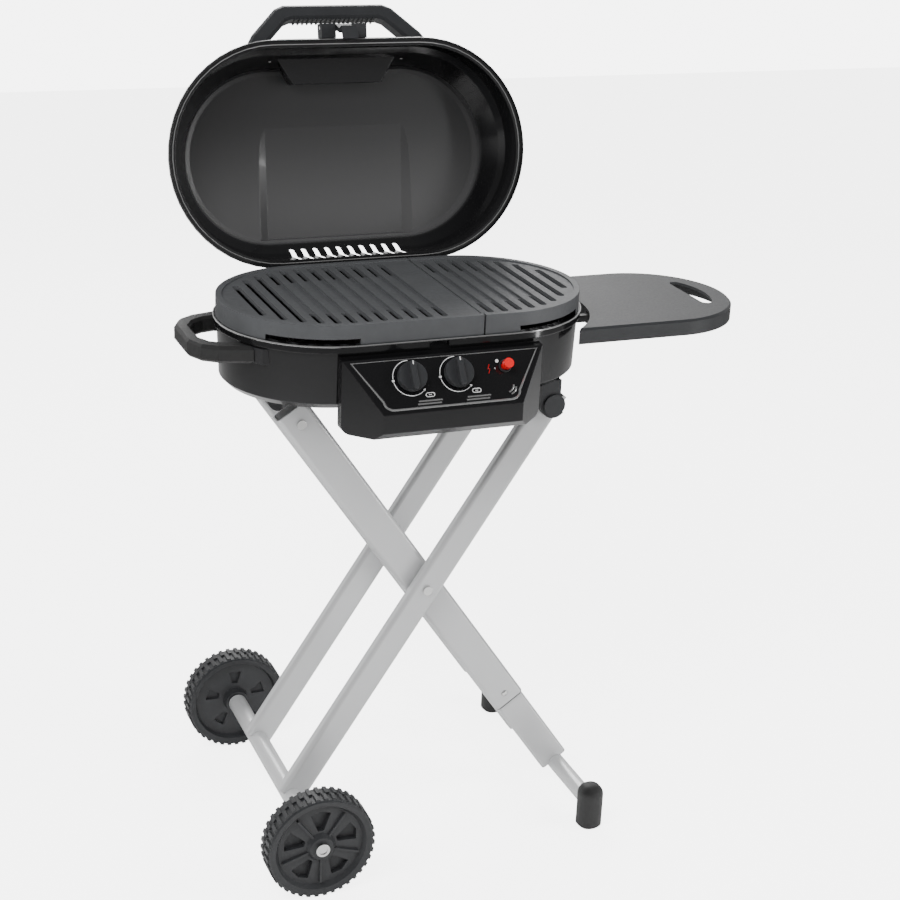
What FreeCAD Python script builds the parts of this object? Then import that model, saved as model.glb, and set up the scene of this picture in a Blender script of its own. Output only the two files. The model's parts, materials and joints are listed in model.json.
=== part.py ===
"""Folding camp grill on a scissor stand, as a parametric FreeCAD document.

Frame: +X to the right along the grill's length (side table end), -Y to the front (knobs), +Z up.
The origin is on the floor at the middle of the open grill's footprint; every sub-part is drawn about
the middle of the bowl, and its Placement moves it there. Millimetres throughout.
"""
import FreeCAD, Part
import math
import os
import re

import Sketcher
from FreeCAD import Placement, Rotation, Vector

SIZES = {
    # where the middle of the whole grill's footprint lies from the middle of the bowl
    "footprint_x": (100.98, "middle of the grill's footprint, right of the middle of the bowl"),
    "footprint_y": (47.041, "middle of the grill's footprint, behind the middle of the bowl"),
    # bowl (the firebox)
    "end_centre": (113, "half distance between the centres of the bowl's round ends"),
    "rim_radius": (154, "outer radius of the bowl's rolled rim"),
    "rim_height": (791.5, "top of the rim above the floor"),
    "rim_lip": (11, "height of the rim's turned-down lip"),
    "ledge_radius": (143, "inner edge of the rim, which carries the grates"),
    "steel": (2, "thickness of pressed steel"),
    "bowl_top_radius": (150, "outer radius of the bowl wall under the rim"),
    "bowl_low_radius": (147, "outer radius of the bowl wall above the bottom corner"),
    "bowl_corner": (8, "size of the bowl's bottom corner"),
    "bowl_floor": (700, "underside of the bowl above the floor"),
    # grates
    "grate_radius": (151, "outer radius of the pair of grates"),
    "grate_height": (819, "top of the grates above the floor"),
    "grate_plate": (8, "thickness of the grate plate"),
    "grate_rim": (9, "width of the raised rim round the grates"),
    "grate_skirt": (5, "thickness of the grates' skirt"),
    "seam_place": (67, "where the two grates meet, right of the middle"),
    "bar_pitch": (21.5, "distance between grate bars"),
    "bar_slot": (10, "width of the slot between grate bars"),
    # lid
    "lid_gap": (0.5, "gap between the closed lid and the rim"),
    "lid_flange": (164.5, "outer radius of the lid's flange"),
    "lid_mouth": (154, "inner radius of the lid at its mouth"),
    "lid_lip": (4, "height of the lid flange's turned-down lip"),
    "lid_wall": (40, "height of the lid's upright wall"),
    "lid_depth": (80, "height of the lid's crown edge above its mouth"),
    "lid_crown_half": (107, "half distance between the crown's end centres"),
    "lid_crown_radius": (127, "inner radius of the crown's outline"),
    "lid_crown_shift": (6.5, "how far the crown sits behind the mouth"),
    "hinge_back": (183, "lid hinge axis behind the middle"),
    "hinge_height": (787, "lid hinge axis above the floor"),
    "lid_open": (100.5, "angle of the open lid from closed"),
    "hinge_place": (68, "lid hinges either side of the middle"),
    # control box
    "box_centre": (3, "middle of the control box, right of the middle"),
    "box_length": (290, "length of the control box"),
    "box_back": (150.6, "back face of the control box in front of the middle"),
    "console_front": (167, "top edge of the sloped console in front of the middle"),
    "console_height": (775, "top edge of the console above the floor"),
    "console_tilt": (56, "slope of the console from the horizontal"),
    "console_length": (78, "length of the sloped console"),
    "box_shoulder": (166, "where the box's sides start to slant in, in front of the middle"),
    "box_chamfer": (50, "depth of the box's slanted sides"),
    "box_low": (684, "lower edge of the box's upright face"),
    "box_bottom": (674, "underside of the control box"),
    "knob_left": (-52, "left knob"),
    "knob_right": (15, "right knob"),
    "knob_drop": (30, "knob centres below the console's top edge"),
    "knob_radius": (20, "radius of a knob"),
    "stem_radius": (4, "radius of a valve stem"),
    "button_place": (86, "igniter button"),
    "button_drop": (25, "igniter button below the console's top edge"),
    "button_radius": (5.5, "radius of the igniter's plunger"),
    "inlet_place": (100, "gas regulator port, right of the middle"),
    "port_radius": (9, "radius of the gas regulator port"),
    "port_depth": (26, "depth of the gas regulator port"),
    "running_gap": (0.05, "radial clearance of a turning or sliding fit"),
    # side table
    "table_top": (780, "top of the side table above the floor"),
    "table_half": (128, "half width of the side table"),
    "table_inner": (222, "front and rear inner corners of the side table, right of the middle"),
    "table_hollow": (168, "radius of the table's hollow inner edge, about the bowl's end centre"),
    "table_end_centre": (392, "centre of the table's round end"),
    "table_depth": (23, "height of the table's skirt"),
    "table_plate": (4, "thickness of the table's top"),
    "table_hinge_x": (283, "side table hinge axis, right of the middle"),
    "table_hinge_z": (768, "side table hinge axis above the floor"),
    "table_slot": (460, "straight edge of the table's hand slot, right of the middle"),
    # stand
    "pivot_x": (-168, "top pivot of the foot legs, right of the middle"),
    "pivot_z": (657, "top pivot of the foot legs above the floor"),
    "arm_length": (327, "from the crossing pivot to the top of either pair of legs"),
    "foot_leg_slope": (55.05, "slope of the foot legs"),
    "wheel_leg_slope": (56.78, "slope of the wheel legs"),
    "wheel_arm": (369.5, "from the crossing pivot to the wheel axle"),
    "wheel_leg_wide": (42, "width of a wheel leg's tube"),
    "wheel_leg_thick": (20, "thickness of a wheel leg's tube"),
    "wheel_leg_y": (88, "middle of each wheel leg from the centre plane"),
    "foot_leg_wide": (50, "width of a foot leg's tube"),
    "foot_leg_thick": (25, "thickness of a foot leg's tube"),
    "foot_leg_y": (63.5, "middle of each foot leg from the centre plane"),
    "foot_leg_head": (25, "how far a foot leg runs on past its top pivot"),
    "foot_leg_end": (594, "from a foot leg's top pivot to its lower end"),
    "insert_start": (450, "from the foot leg's top pivot to the upper end of the sliding insert"),
    "insert_end": (741, "from the foot leg's top pivot to the lower end of the sliding insert"),
    "foot_reach": (748, "from the foot leg's top pivot to the tube between the feet"),
    "snap_place": (576.6, "from the foot leg's top pivot to the snap button"),
    "tube_wall": (2, "wall thickness of the leg tubes"),
    "tube_corner": (7, "corner radius of the leg tubes"),
    "foot_tube": (13, "radius of the tube between the feet"),
    "foot_half": (189, "feet from the centre plane"),
    "boot_width": (38, "width of a rubber boot"),
    "boot_height": (71, "height of a rubber boot"),
    "pivot_pin": (4, "radius of the leg pivot pins"),
    "wheel_radius": (80, "radius of a wheel"),
    "wheel_inner": (203, "inner face of a wheel from the centre plane"),
    "wheel_width": (38, "width of a wheel"),
    "axle_tube": (14, "radius of the axle tube"),
    "axle_rod": (6, "radius of the axle rod"),
    "crossbar": (12.5, "radius of the top crossbar"),
    "cradle_place": (99, "inner face of each crossbar cradle from the centre plane"),
    "cradle_width": (10.9, "width of each crossbar cradle"),
    "cradle_radius": (20, "outer radius of each crossbar cradle"),
}

doc = FreeCAD.newDocument("folding_camp_grill")
sheet = doc.addObject("Spreadsheet::Sheet", "Sizes")
for row, (alias, (size, meaning)) in enumerate(SIZES.items(), start=1):
    sheet.set(f"A{row}", meaning)
    sheet.set(f"B{row}", str(size))
    sheet.setAlias(f"B{row}", alias)
doc.recompute()

NODES = {}


# ------------------------------------------------------------------ helpers
def bound(expression):
    """The expression with every size's name pointing at its cell in the sheet."""
    return re.sub(r"[a-z_]+", lambda m: f"Sizes.{m[0]}" if m[0] in SIZES else m[0], str(expression))


def num(expression):
    """The expression's value now."""
    return float(sheet.evalExpression(str(expression)))


def bind(obj, prop, expression):
    obj.setExpression(prop, bound(expression))


def place(obj, x=0, y=0, z=0, turn=None):
    """Puts obj at a place bound to the sheet, after turning it."""
    obj.Placement = Placement(Vector(num(x), num(y), num(z)), turn or Rotation())
    for axis, value in zip("xyz", (x, y, z)):
        bind(obj, f"Placement.Base.{axis}", value)
    return obj


def node(name, obj):
    """Marks obj as a sub-part with a file of its own, set over the middle of the grill's footprint."""
    moved = doc.addObject("Part::Compound", name)
    moved.Links = [obj]
    moved.Label = name
    place(moved, "0 - footprint_x", "0 - footprint_y")
    NODES[name] = moved
    return moved


ALONG_X = Rotation(Vector(0, 1, 0), 90)
ALONG_Y = Rotation(Vector(1, 0, 0), -90)


def cylinder(name, radius, height, x=0, y=0, z=0, turn=None):
    made = doc.addObject("Part::Cylinder", name)
    bind(made, "Radius", radius)
    bind(made, "Height", height)
    return place(made, x, y, z, turn)


def block(name, length, width, height, x=0, y=0, z=0, turn=None):
    """A box whose lowest corner is at x, y, z."""
    made = doc.addObject("Part::Box", name)
    bind(made, "Length", length)
    bind(made, "Width", width)
    bind(made, "Height", height)
    return place(made, x, y, z, turn)


def fuse(name, *pieces):
    made = doc.addObject("Part::MultiFuse", name)
    made.Shapes = list(pieces)
    made.Refine = True
    return made


def cut(name, base, *tools):
    made = doc.addObject("Part::Cut", name)
    made.Base = base
    made.Tool = tools[0] if len(tools) == 1 else fuse(name + "_tools", *tools)
    made.Refine = True
    return made


def common(name, first, second):
    """What two solids have in common."""
    made = doc.addObject("Part::Common", name)
    made.Base = first
    made.Tool = second
    made.Refine = True
    return made


def group(name, *pieces):
    """Separate identical solids that share one node."""
    made = doc.addObject("Part::Compound", name)
    made.Links = list(pieces)
    return made


def body(name):
    return doc.addObject("PartDesign::Body", name)


def sketch(owner, name, plane="XY_Plane", lift=0):
    """An empty sketch on one of the body's own origin planes, lifted along the plane's normal."""
    made = owner.newObject("Sketcher::SketchObject", name)
    support = [feature for feature in owner.Origin.OriginFeatures if feature.Role == plane][0]
    made.AttachmentSupport = [(support, "")]
    made.MapMode = "FlatFace"
    bind(made, "AttachmentOffset.Base.z", lift)
    return made


def dimension(sk, kind, where, expression):
    """A dimension of the sketch bound to an expression."""
    value = num(expression)
    index = sk.addConstraint(Sketcher.Constraint(kind, *where, value))
    label = f"size_{index}"
    sk.renameConstraint(index, label)
    bind(sk, f"Constraints.{label}", expression)


def locate(sk, geometry, point, x, y):
    dimension(sk, "DistanceX", (-1, 1, geometry, point), x)
    dimension(sk, "DistanceY", (-1, 1, geometry, point), y)


def polygon(sk, points):
    """A closed outline through points, each bound by its own pair of dimensions."""
    corners = [Vector(num(x), num(y), 0) for x, y in points]
    first = sk.GeometryCount
    count = len(corners)
    for i in range(count):
        sk.addGeometry(Part.LineSegment(corners[i], corners[(i + 1) % count]))
    for i in range(count):
        sk.addConstraint(Sketcher.Constraint("Coincident", first + i, 2, first + (i + 1) % count, 1))
    for i, (x, y) in enumerate(points):
        locate(sk, first + i, 1, x, y)
    return sk


def circle(sk, radius, x=0, y=0):
    index = sk.addGeometry(Part.Circle(Vector(num(x), num(y), 0), Vector(0, 0, 1), num(radius)))
    locate(sk, index, 3, x, y)
    dimension(sk, "Radius", (index,), radius)
    return sk


def stadium(sk, half, radius, x=0, y=0, upright=False):
    """Two straight sides joined by half circles whose centres are half either side of x, y."""
    ends = ((f"{x}", f"{y} + {half}"), (f"{x}", f"{y} - ({half})"))
    if not upright:
        ends = ((f"{x} + {half}", f"{y}"), (f"{x} - ({half})", f"{y}"))
    centres = [Vector(num(cx), num(cy), 0) for cx, cy in ends]
    size = num(radius)
    start = 0 if upright else -math.pi / 2
    arcs = []
    for i, centre in enumerate(centres):
        whole = Part.Circle(centre, Vector(0, 0, 1), size)
        arcs.append(Part.ArcOfCircle(whole, start + i * math.pi, start + (i + 1) * math.pi))
    first = sk.GeometryCount
    sk.addGeometry(arcs[0])
    sk.addGeometry(Part.LineSegment(arcs[0].EndPoint, arcs[1].StartPoint))
    sk.addGeometry(arcs[1])
    sk.addGeometry(Part.LineSegment(arcs[1].EndPoint, arcs[0].StartPoint))
    for i in range(4):
        sk.addConstraint(Sketcher.Constraint("Tangent", first + i, 2, first + (i + 1) % 4, 1))
    locate(sk, first, 3, *ends[0])
    locate(sk, first + 2, 3, *ends[1])
    sk.addConstraint(Sketcher.Constraint("Equal", first, first + 2))
    dimension(sk, "Radius", (first,), radius)
    return sk


def pad(owner, sk, length, symmetric=False, backwards=False):
    made = owner.newObject("PartDesign::Pad", "pad")
    made.Profile = sk
    bind(made, "Length", length)
    made.Reversed = backwards
    if symmetric:
        made.SideType = "Symmetric"
    doc.recompute()
    return made


def pocket(owner, sk, length, symmetric=False, backwards=False):
    """Cuts the sketch out of the body and makes sure that it took material away."""
    before = owner.Tip.Shape.Volume
    made = owner.newObject("PartDesign::Pocket", "pocket")
    made.Profile = sk
    bind(made, "Length", length)
    made.Reversed = backwards
    if symmetric:
        made.SideType = "Symmetric"
    doc.recompute()
    if made.Shape.Volume > before - 0.001:
        raise RuntimeError(f"{owner.Name}: a pocket removed nothing")
    return made


def row(owner, feature, axis, length, count):
    """Repeats a feature count times along one of the body's axes."""
    made = owner.newObject("PartDesign::LinearPattern", "row")
    made.Originals = [feature]
    line = [item for item in owner.Origin.OriginFeatures if item.Role == axis][0]
    made.Direction = (line, [""])
    bind(made, "Length", length)
    made.Occurrences = count
    owner.Tip = made
    doc.recompute()
    return made


def ring_of(owner, feature, count, axis="Z_Axis"):
    """Repeats a feature count times round one of the body's axes."""
    made = owner.newObject("PartDesign::PolarPattern", "ring")
    made.Originals = [feature]
    line = [item for item in owner.Origin.OriginFeatures if item.Role == axis][0]
    made.Axis = (line, [""])
    made.Angle = 360
    made.Occurrences = count
    owner.Tip = made
    doc.recompute()
    return made


def revolve(owner, sk, axis="V_Axis", cutting=False):
    made = owner.newObject("PartDesign::Groove" if cutting else "PartDesign::Revolution", "turned")
    made.Profile = sk
    made.ReferenceAxis = (sk, [axis])
    made.Angle = 360
    doc.recompute()
    return made


def loft(owner, sections, cutting=False):
    """A ruled loft through stadium outlines given as (height, half, radius, shift in y)."""
    sketches = []
    for height, half, radius, shift in sections:
        sk = sketch(owner, "section", lift=height)
        sketches.append(stadium(sk, half, radius, y=shift))
    kind = "PartDesign::SubtractiveLoft" if cutting else "PartDesign::AdditiveLoft"
    made = owner.newObject(kind, "loft")
    made.Profile = sketches[0]
    made.Sections = sketches[1:]
    made.Ruled = True
    doc.recompute()
    return made


def soften(owner, radius, wanted, kind="Fillet"):
    """Rounds or chamfers the edges of the body's tip that the test accepts."""
    tip = owner.Tip
    names = [f"Edge{i}" for i, edge in enumerate(tip.Shape.Edges, start=1) if wanted(edge)]
    if not names:
        raise RuntimeError(f"{owner.Name}: no edge to soften")
    made = owner.newObject(f"PartDesign::{kind}", kind.lower())
    made.Base = (tip, names)
    bind(made, "Radius" if kind == "Fillet" else "Size", radius)
    doc.recompute()
    return made


def runs(edge, direction):
    """Whether an edge is straight and parallel to direction."""
    if edge.Curve.TypeId != "Part::GeomLine":
        return False
    return abs(abs(edge.tangentAt(edge.FirstParameter).dot(direction)) - 1) < 1e-6


def level(edge, height):
    """Whether an edge lies wholly at a height."""
    bounds = edge.BoundBox
    return abs(bounds.ZMin - height) < 1e-4 and abs(bounds.ZMax - height) < 1e-4


# ------------------------------------------------------------------ bowl
def bowl_solid(name, inset, low, high):
    """The bowl's outline as a solid, inset everywhere by the same amount."""
    made = body(name)
    loft(made, [
        (low, "end_centre", f"bowl_low_radius - bowl_corner - ({inset})", 0),
        ("bowl_floor + bowl_corner", "end_centre", f"bowl_low_radius - ({inset})", 0),
        (high, "end_centre", f"bowl_top_radius - ({inset})", 0),
    ])
    return made


def firebox_bowl():
    made = bowl_solid("bowl", "0", "bowl_floor", "rim_height - steel")
    rim = sketch(made, "rim", lift="rim_height - steel")
    pad(made, stadium(rim, "end_centre", "rim_radius"), "steel")
    lip = sketch(made, "lip", lift="rim_height - rim_lip")
    stadium(lip, "end_centre", "rim_radius")
    stadium(lip, "end_centre", "rim_radius - steel")
    pad(made, lip, "rim_lip - steel")
    ledge = sketch(made, "ledge", lift="rim_height")
    pocket(made, stadium(ledge, "end_centre", "ledge_radius"), "2*steel")
    loft(made, [
        ("bowl_floor + steel", "end_centre", "bowl_low_radius - bowl_corner - steel", 0),
        ("bowl_floor + bowl_corner + 1", "end_centre", "bowl_low_radius - steel", 0),
        ("rim_height - steel", "end_centre", "bowl_top_radius - steel", 0),
    ], cutting=True)
    for side in (-1, 1):
        vent = sketch(made, "vent", lift="bowl_floor + 2*steel")
        first = pocket(made, stadium(vent, 12, 3, x=-125, y=side * 127), "3*steel")
        row(made, first, "X_Axis", 250, 6)
    inlets = sketch(made, "inlets", "XZ_Plane")
    circle(inlets, 9, "knob_left", BURNER_Z)
    circle(inlets, 9, "knob_right", BURNER_Z)
    pocket(made, inlets, "rim_radius + 5", backwards=True)
    return made


# ------------------------------------------------------------------ positions used by several parts
KNOB_Y = "-(console_front + knob_drop*cos(console_tilt))"
KNOB_Z = "console_height - knob_drop*sin(console_tilt)"
BUTTON_Y = "-(console_front + button_drop*cos(console_tilt))"
BUTTON_Z = "console_height - button_drop*sin(console_tilt)"
VALVE_DEPTH = 12
VALVE_Y = f"{KNOB_Y} + {VALVE_DEPTH}*sin(console_tilt)"
BURNER_Z = f"{KNOB_Z} - {VALVE_DEPTH}*cos(console_tilt)"
OUT_OF_CONSOLE = Rotation(Vector(1, 0, 0), SIZES["console_tilt"][0])


def latch_notch():
    """Clears the rim's lip for the latch: a slot open below, with the rim left above it."""
    return block("latch_notch", 28, 4, "rim_lip - steel", -14, "-rim_radius - 1.6", "rim_height - rim_lip")


node("firebox_bowl", cut("bowl_with_notch", firebox_bowl(), latch_notch()))


def drip_pan():
    made = body("pan")
    foot = sketch(made, "foot", lift="bowl_floor + steel")
    pad(made, stadium(foot, "end_centre", 118), 11)
    hollow = sketch(made, "hollow", lift="bowl_floor + steel + 11")
    pocket(made, stadium(hollow, "end_centre", 116.5), 9.5)
    return made


node("drip_pan", drip_pan())


# ------------------------------------------------------------------ gas system
BURNER_LOOP = 55
BURNER_TUBE = 7
BURNER_BORE = 5.8
BURNER_INLET = 52


def burner(name, inlet, side):
    """A ring burner with flame ports on top and an inlet tube at a tangent on one side."""
    made = body(name)
    ring = sketch(made, "ring", "XZ_Plane")
    revolve(made, circle(ring, BURNER_TUBE, BURNER_LOOP))
    tube = sketch(made, "tube", "XZ_Plane")
    pad(made, circle(tube, BURNER_TUBE, side * BURNER_INLET), 156)
    core = sketch(made, "core", "XZ_Plane")
    revolve(made, circle(core, BURNER_BORE, BURNER_LOOP), cutting=True)
    bore = sketch(made, "bore", "XZ_Plane", 156)
    pocket(made, circle(bore, BURNER_BORE, side * BURNER_INLET), 150)
    port = sketch(made, "port", lift=BURNER_TUBE + 1)
    first = pocket(made, circle(port, 1, BURNER_LOOP), BURNER_TUBE)
    ring_of(made, first, 24)
    place(made, f"{inlet} - ({side * BURNER_INLET})", 0, BURNER_Z)
    return node(name, made)


burner("left_burner", "knob_left", 1)
burner("right_burner", "knob_right", -1)

post_base = "bowl_floor + steel + 1.5"
posts = []
for centre in (f"knob_left - {BURNER_INLET}", f"knob_right + {BURNER_INLET}"):
    for back in (-BURNER_LOOP, BURNER_LOOP):
        height = f"{BURNER_Z} - {BURNER_TUBE} - ({post_base})"
        posts.append(cylinder("post", 3, height, centre, back, post_base))
node("burner_posts", group("posts", *posts))


def gas_valves():
    """Two identical valves, each with a jet that reaches into its burner's tube."""
    valves = []
    for across in ("knob_left", "knob_right"):
        housing = block("valve_housing", 24, 15, 17, f"{across} - 12", f"{VALVE_Y} - 6", f"{BURNER_Z} - 9")
        jet = cylinder("jet", 4, 14, across, f"{VALVE_Y} + 8", BURNER_Z, ALONG_Y)
        whole = fuse("valve", housing, jet)
        bore = cylinder("stem_bore", "stem_radius + running_gap", 20, across, VALVE_Y, BURNER_Z, OUT_OF_CONSOLE)
        valves.append(cut("bored_valve", whole, bore))
    return group("valves", *valves)


node("gas_valves", gas_valves())

MANIFOLD_Z = f"{BURNER_Z} - 22"
tube = cylinder("manifold_tube", 5, "inlet_place - knob_left + 17",
                "knob_left - 12", VALVE_Y, MANIFOLD_Z, ALONG_X)
drop = cylinder("manifold_drop", 5, f"{MANIFOLD_Z} - box_bottom - 26",
                "inlet_place", VALVE_Y, "box_bottom + 26")
risers = [cylinder("riser", 4, 13, x, VALVE_Y, MANIFOLD_Z) for x in ("knob_left", "knob_right")]
manifold_bore = cylinder("manifold_bore", 3.5, "inlet_place - knob_left",
                         "knob_left", VALVE_Y, MANIFOLD_Z, ALONG_X)
drop_bore = cylinder("drop_bore", 3.5, f"{MANIFOLD_Z} - box_bottom", "inlet_place", VALVE_Y, "box_bottom")
node("gas_manifold", cut("bored_manifold", fuse("manifold", tube, drop, *risers), manifold_bore, drop_bore))
inlet_body = cylinder("inlet_body", 12.5, 30, "inlet_place", VALVE_Y, "box_bottom")
inlet_flange = cylinder("inlet_flange", 15, 2, "inlet_place", VALVE_Y, "box_bottom - 2")
inlet_bore = cylinder("inlet_bore", "port_radius", "port_depth + 1", "inlet_place", VALVE_Y, "box_bottom - 3")
inlet_feed = cylinder("inlet_feed", 5, 40, "inlet_place", VALVE_Y, "box_bottom - 3")
node("gas_inlet", cut("bored_inlet", fuse("inlet", inlet_body, inlet_flange), inlet_bore, inlet_feed))

# ------------------------------------------------------------------ control box
BOX_SIDE = 1.6


def box_solid(name, inset):
    """The console's profile run along X, trimmed to the rounded outline seen from the front."""
    profile = body(name + "_profile")
    outline = sketch(profile, "outline", "YZ_Plane", "box_centre")
    console_y = "-(console_front + console_length*cos(console_tilt))"
    console_z = "console_height - console_length*sin(console_tilt)"
    lean = f"{inset}*0.7"
    polygon(outline, [
        (f"-box_back + {inset}", f"console_height + 1 - {inset}"),
        (f"-console_front + {inset}", f"console_height - {inset}"),
        (f"{console_y} + {inset}", f"{console_z} - 0.3*{inset}"),
        (f"{console_y} + {inset}", f"box_low + {lean}"),
        (f"{console_y} + 10 + {lean}", f"box_bottom + {inset}"),
        (f"-box_back + {inset}", f"box_bottom + {inset}"),
    ])
    pad(profile, outline, f"box_length - 2*{inset}", symmetric=True)
    front = body(name + "_front")
    face = sketch(front, "face", "XZ_Plane", "box_back - 10")
    left = f"box_centre - box_length/2 + {inset}"
    right = f"box_centre + box_length/2 - {inset}"
    polygon(face, [
        (left, "console_height + 10"), (left, f"box_bottom + {inset}"),
        (right, f"box_bottom + {inset}"), (right, "console_height + 10"),
    ])
    pad(front, face, 80)
    soften(front, f"10 - {inset}", lambda e: runs(e, Vector(0, 1, 0)) and e.BoundBox.ZMin < 700)
    plan = body(name + "_plan")
    above = sketch(plan, "above", lift="box_bottom - 5")
    half = f"(box_length/2 - {inset})"
    nose = f"(box_length/2 - box_chamfer - 1.414*{inset})"
    corner, tip = f"-box_shoulder + 0.414*{inset}", "-box_shoulder - box_chamfer"
    polygon(above, [
        (f"box_centre - {half}", "10 - box_back"),
        (f"box_centre - {half}", corner),
        (f"box_centre - {nose}", tip),
        (f"box_centre + {nose}", tip),
        (f"box_centre + {half}", corner),
        (f"box_centre + {half}", "10 - box_back"),
    ])
    pad(plan, above, "console_height - box_bottom + 20")
    return common(name, common(name + "_face", profile, front), plan)


def box_holes():
    tools = []
    for across in ("knob_left", "knob_right"):
        tools.append(cylinder("stem_hole", 5.5, 10, across, f"{KNOB_Y} + 5*sin(console_tilt)",
                              f"{KNOB_Z} - 5*cos(console_tilt)", OUT_OF_CONSOLE))
    tools.append(cylinder("button_hole", 7, 10, "button_place", f"{BUTTON_Y} + 5*sin(console_tilt)",
                          f"{BUTTON_Z} - 5*cos(console_tilt)", OUT_OF_CONSOLE))
    tools.append(cylinder("inlet_hole", 12.5, 6, "inlet_place", VALVE_Y, "box_bottom - 3"))
    tools.append(block("open_back", f"box_length - 2*{BOX_SIDE} - 80", 8, "console_height - box_bottom - 20",
                       f"box_centre - box_length/2 + {BOX_SIDE} + 40", "-box_back - 5", "box_bottom + 10"))
    return tools


node("control_box", cut("box_shell", box_solid("box", 0), box_solid("box_hollow", BOX_SIDE), *box_holes()))


def along_console(name, radius, start, length, across, y, z):
    """A cylinder square to the console, starting at a height above its face."""
    return cylinder(name, radius, length, across, f"{y} - ({start})*sin(console_tilt)",
                    f"{z} + ({start})*cos(console_tilt)", OUT_OF_CONSOLE)


def button_part(name, radius, start, length):
    return along_console(name, radius, start, length, "button_place", BUTTON_Y, BUTTON_Z)


bezel = cut("bezel", button_part("bezel_disc", 9, 0, 3), button_part("bezel_bore", 7.2, -1, 6))
node("igniter_bezel", bezel)
housing = cut("housing", button_part("housing_tube", 6.9, -18, 18),
              button_part("housing_bore", "button_radius + running_gap", -15, 20))
node("igniter_housing", housing)
button = fuse("button", button_part("plunger", "button_radius", -9, 15), button_part("cap", 7, 7, 10),
              button_part("neck", "button_radius", 5, 4))
node("igniter_button", button)
electrode = cylinder("electrode", 3, 34, "knob_right - 14", -62, "bowl_floor + steel + 1.5")
electrode_tip = cylinder("electrode_tip", 1, 12, "knob_right - 14", -62, "bowl_floor + steel + 35.5")
node("igniter_electrode", fuse("electrode_whole", electrode, electrode_tip))


def knob(name, across):
    """A round knob with a grip fin right across it, standing a little off the console."""
    made = body(name)
    neck = sketch(made, "neck", lift=1)
    pad(made, circle(neck, "knob_radius - 3"), 3)
    drum = sketch(made, "drum", lift=4)
    pad(made, circle(drum, "knob_radius"), 9)
    fin = sketch(made, "fin", lift=13)
    pad(made, stadium(fin, "knob_radius - 5", 4.6, upright=True), 8)
    soften(made, 1.4, lambda e: level(e, 21))
    socket = sketch(made, "socket", lift=1)
    pocket(made, circle(socket, "stem_radius"), 8, backwards=True)
    place(made, across, KNOB_Y, KNOB_Z, OUT_OF_CONSOLE)
    return node(name, made)


for side, across in (("left", "knob_left"), ("right", "knob_right")):
    knob(side + "_knob", across)
    node(side + "_knob_stem", along_console("stem", "stem_radius", -9, 18, across, KNOB_Y, KNOB_Z))

# ------------------------------------------------------------------ grates
GRATE_WELL = 2
LEFT_SLOTS = [f"seam_place - 52 - {i}*bar_pitch" for i in range(12)]
RIGHT_SLOTS = [f"seam_place + 16 + {i}*bar_pitch" for i in range(8)]
FULL_SLOTS = 3


def reach(x):
    """Half the depth of the cooking field at a place along the grates."""
    return (f"sqrt((grate_radius - grate_rim - 7)^2"
            f" - max(0, abs({x}) - end_centre + bar_slot/2)^2)")


def grate(name, slots, keep_left):
    """One grate: a skirted plate with a raised rim, a grooved field and slots that drain it."""
    made = body(name)
    plate = sketch(made, "plate", lift="rim_height")
    pad(made, stadium(plate, "end_centre", "grate_radius"), "grate_height - rim_height")
    under = sketch(made, "under", lift="grate_height - grate_plate")
    pocket(made, stadium(under, "end_centre", "grate_radius - grate_skirt"), 40)
    field = sketch(made, "field", lift="grate_height")
    pocket(made, stadium(field, "end_centre", "grate_radius - grate_rim"), GRATE_WELL)
    grooves = sketch(made, "grooves", lift="grate_height")
    for x in slots:
        stadium(grooves, f"{reach(x)} - bar_slot/2", "bar_slot/2", x=x, upright=True)
    pocket(made, grooves, "grate_plate - 3")
    drains = sketch(made, "drains", lift="grate_height")
    for i, x in enumerate(slots):
        if i >= len(slots) - FULL_SLOTS:
            stadium(drains, f"{reach(x)} - bar_slot/2 - 1", "bar_slot/2 - 0.6", x=x, upright=True)
            continue
        for side in (-1, 1):
            stadium(drains, 22, "bar_slot/2 - 0.6", x=x, y=f"{side}*({reach(x)} - 28)", upright=True)
    pocket(made, drains, "grate_plate + 1")
    ends = ("seam_place - 1.25", -300) if keep_left else ("seam_place + 1.25", 300)
    trim = sketch(made, "trim", lift="grate_height + 1")
    edge, far = ends
    away = 300 if keep_left else -300
    polygon(trim, [(edge, -200), (edge, 200), (away, 200), (away, -200)])
    pocket(made, trim, 60)
    gaps = sketch(made, "gaps", "XZ_Plane", 60)
    places = [(-227, -111)] if keep_left else [(120, 230)]
    for low, high in places:
        polygon(gaps, [(low, "rim_height"), (high, "rim_height"),
                       (high, "rim_height + 8"), (low, "rim_height + 8")])
    pocket(made, gaps, 110, backwards=True)
    return node(name, made)


grate("left_grate", LEFT_SLOTS, True)
grate("right_grate", RIGHT_SLOTS, False)

# ------------------------------------------------------------------ left handle
carry = body("carry_handle")
loop = sketch(carry, "loop", lift="rim_height - 36")
polygon(loop, [
    (-240, -90), (-285, -77), (-306, -62), (-318, -36), (-318, 36), (-306, 62), (-285, 77), (-240, 90),
    (-236, 66), (-272, 57), (-288, 46), (-298, 26), (-298, -26), (-288, -46), (-272, -57), (-236, -66),
])
pad(carry, loop, 24)
soften(carry, 4, lambda e: level(e, num("rim_height - 36")) or level(e, num("rim_height - 12")), "Chamfer")
clearance = bowl_solid("handle_clearance", "0 - 6", "bowl_floor", "rim_height - steel + 20")
node("left_handle", cut("handle_body", carry, clearance))
mounts = body("handle_mounts")
ears = sketch(mounts, "ears", lift="rim_height - 35")
for front in (-1, 1):
    polygon(ears, [(-200, front*58), (-262, front*62), (-262, front*96), (-200, front*104)])
pad(mounts, ears, 22)
wall_skin = bowl_solid("wall_skin", "0 - 6", "bowl_floor", "rim_height - steel + 20")
wall_room = bowl_solid("wall_room", "0", "bowl_floor", "rim_height - steel")
node("handle_brackets", cut("handle_ears", common("ear_slab", mounts, wall_skin), wall_room))

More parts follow.
